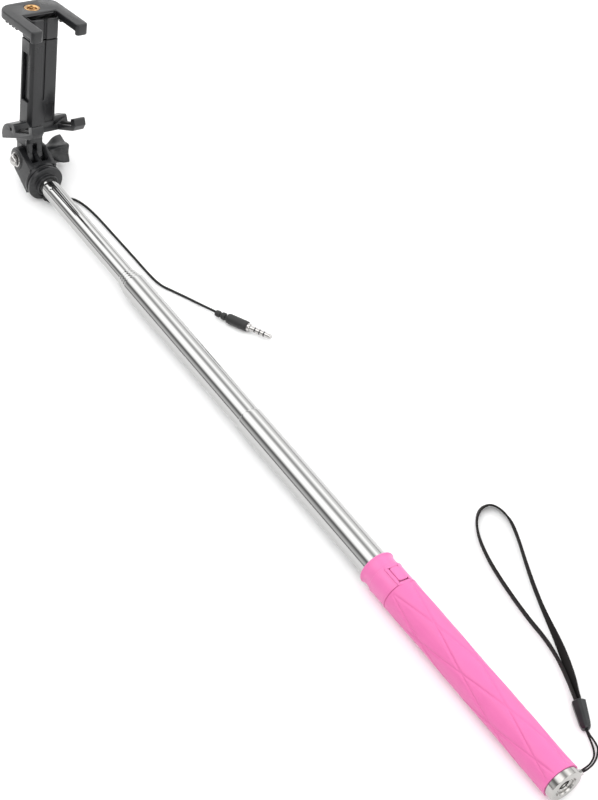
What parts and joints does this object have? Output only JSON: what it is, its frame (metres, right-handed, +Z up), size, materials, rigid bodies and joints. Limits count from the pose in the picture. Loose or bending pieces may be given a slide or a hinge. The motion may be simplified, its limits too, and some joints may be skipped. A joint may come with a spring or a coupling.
{
  "type": "selfie stick",
  "caption": "Telescopic stick with a sprung phone clamp on a tilting head, a wired shutter button in a soft grip, an audio plug lead and a wrist strap.",
  "frame": {"origin": "centre of the bounding box at ground level, with the stick lying down as it rests", "axes": "+X along the stick from the clamp to the end cap, +Z up, +Y to the side where the lead and the strap lie"},
  "size_m": [0.5932, 0.0974, 0.1256],
  "materials": {
    "polished_tube": "polished drawn steel",
    "nylon": "moulded",
    "black_plastic": "fine spark texture",
    "black_rubber": "satin",
    "pink_silicone": "satin moulded silicone",
    "pink_plastic": "satin",
    "bright_steel": "nickel plated",
    "spring_steel": "bright wire",
    "brass": "turned",
    "cap_metal": "turned and plated",
    "circuit_board": "solder mask",
    "grey_plastic": "moulded",
    "cable_jacket": "smooth",
    "plug_metal": "nickel plated",
    "strap_fabric": "woven nylon"
  },
  "bodies": {
    "handle": {"grip_core": "grey_plastic", "front_bush": "nylon", "front_collar": "pink_plastic", "grip_sleeve": "pink_silicone", "end_cap": "cap_metal", "cap_thread_insert": "cap_metal", "switch_dome": "spring_steel", "switch_board": "circuit_board", "strap_lug": "bright_steel", "strap_cord_a": "strap_fabric", "strap_cord_b": "strap_fabric", "strap_bead": "black_plastic", "strap_webbing": "strap_fabric"},
    "button": {"shutter_button": "pink_plastic"},
    "tube_6": {"tube_6": "polished_tube", "bush_6": "nylon"},
    "tube_5": {"tube_5": "polished_tube", "bush_5": "nylon"},
    "tube_4": {"tube_4": "polished_tube", "bush_4": "nylon"},
    "tube_3": {"tube_3": "polished_tube", "bush_3": "nylon"},
    "tube_2": {"tube_2": "polished_tube", "bush_2": "nylon"},
    "head": {"top_tube": "polished_tube", "top_bush": "nylon", "head_bracket": "black_plastic", "acorn_nut": "bright_steel", "friction_washer": "bright_steel", "inner_lead": "cable_jacket", "cable_grommet": "black_rubber", "audio_cable": "cable_jacket", "plug_relief": "black_rubber", "plug_body": "black_rubber", "plug_pin": "plug_metal"},
    "knob": {"thumb_knob": "black_plastic", "thumb_bolt": "bright_steel"},
    "clamp": {"clamp_housing": "black_plastic", "rear_cover": "black_plastic", "cover_screws": "bright_steel", "spring_pin": "spring_steel", "clamp_springs": "spring_steel", "lower_pads": "black_rubber"},
    "upper_jaw": {"upper_jaw": "black_plastic", "tripod_insert": "brass", "upper_pads": "black_rubber"}
  },
  "joints": [
    {"name": "tube_6_slide", "type": "slide", "parent": "handle", "child": "tube_6", "axis": [1, 0, -0.0021], "range_m": [0, 0.1265], "deforming": ["audio_cable", "plug_relief", "plug_body", "plug_pin", "inner_lead"]},
    {"name": "tube_5_slide", "type": "slide", "parent": "tube_6", "child": "tube_5", "axis": [1, 0, -0.0021], "range_m": [0, 0.129], "deforming": ["audio_cable", "plug_relief", "plug_body", "plug_pin", "inner_lead"]},
    {"name": "tube_4_slide", "type": "slide", "parent": "tube_5", "child": "tube_4", "axis": [1, 0, -0.0021], "range_m": [-0.128, 0], "deforming": ["audio_cable", "plug_relief", "plug_body", "plug_pin", "inner_lead"]},
    {"name": "tube_3_slide", "type": "slide", "parent": "tube_4", "child": "tube_3", "axis": [1, 0, -0.0021], "range_m": [-0.128, 0], "deforming": ["audio_cable", "plug_relief", "plug_body", "plug_pin", "inner_lead"]},
    {"name": "tube_2_slide", "type": "slide", "parent": "tube_3", "child": "tube_2", "axis": [1, 0, -0.0021], "range_m": [-0.128, 0], "deforming": ["audio_cable", "plug_relief", "plug_body", "plug_pin", "inner_lead"]},
    {"name": "top_tube_slide", "type": "slide", "parent": "tube_2", "child": "head", "axis": [1, 0, -0.0021], "range_m": [-0.03, 0.097], "deforming": ["audio_cable", "plug_relief", "plug_body", "plug_pin", "inner_lead"]},
    {"name": "button_press", "type": "slide", "parent": "handle", "child": "button", "axis": [-0.002, -0.3175, -0.9482], "range_m": [0, 0.0004], "stiffness_N_per_m": 2000, "springref_m": -0.0004, "deforming": ["switch_dome"]},
    {"name": "knob_turn", "type": "hinge", "parent": "head", "child": "knob", "pos_m": [-0.26327, 0.00022, 0.01169], "axis": [-0.0007, 0.9483, -0.3175], "continuous": true},
    {"name": "clamp_tilt", "type": "hinge", "parent": "head", "child": "clamp", "pos_m": [-0.26326, -0.01875, 0.01804], "axis": [-0.0007, 0.9483, -0.3175], "range_deg": [-78, 32]},
    {"name": "upper_jaw_slide", "type": "slide", "parent": "clamp", "child": "upper_jaw", "axis": [-0.1803, 0.3122, 0.9327], "range_m": [0, 0.03], "stiffness_N_per_m": 250, "springref_m": -0.012, "deforming": ["clamp_springs"]}
  ]
}
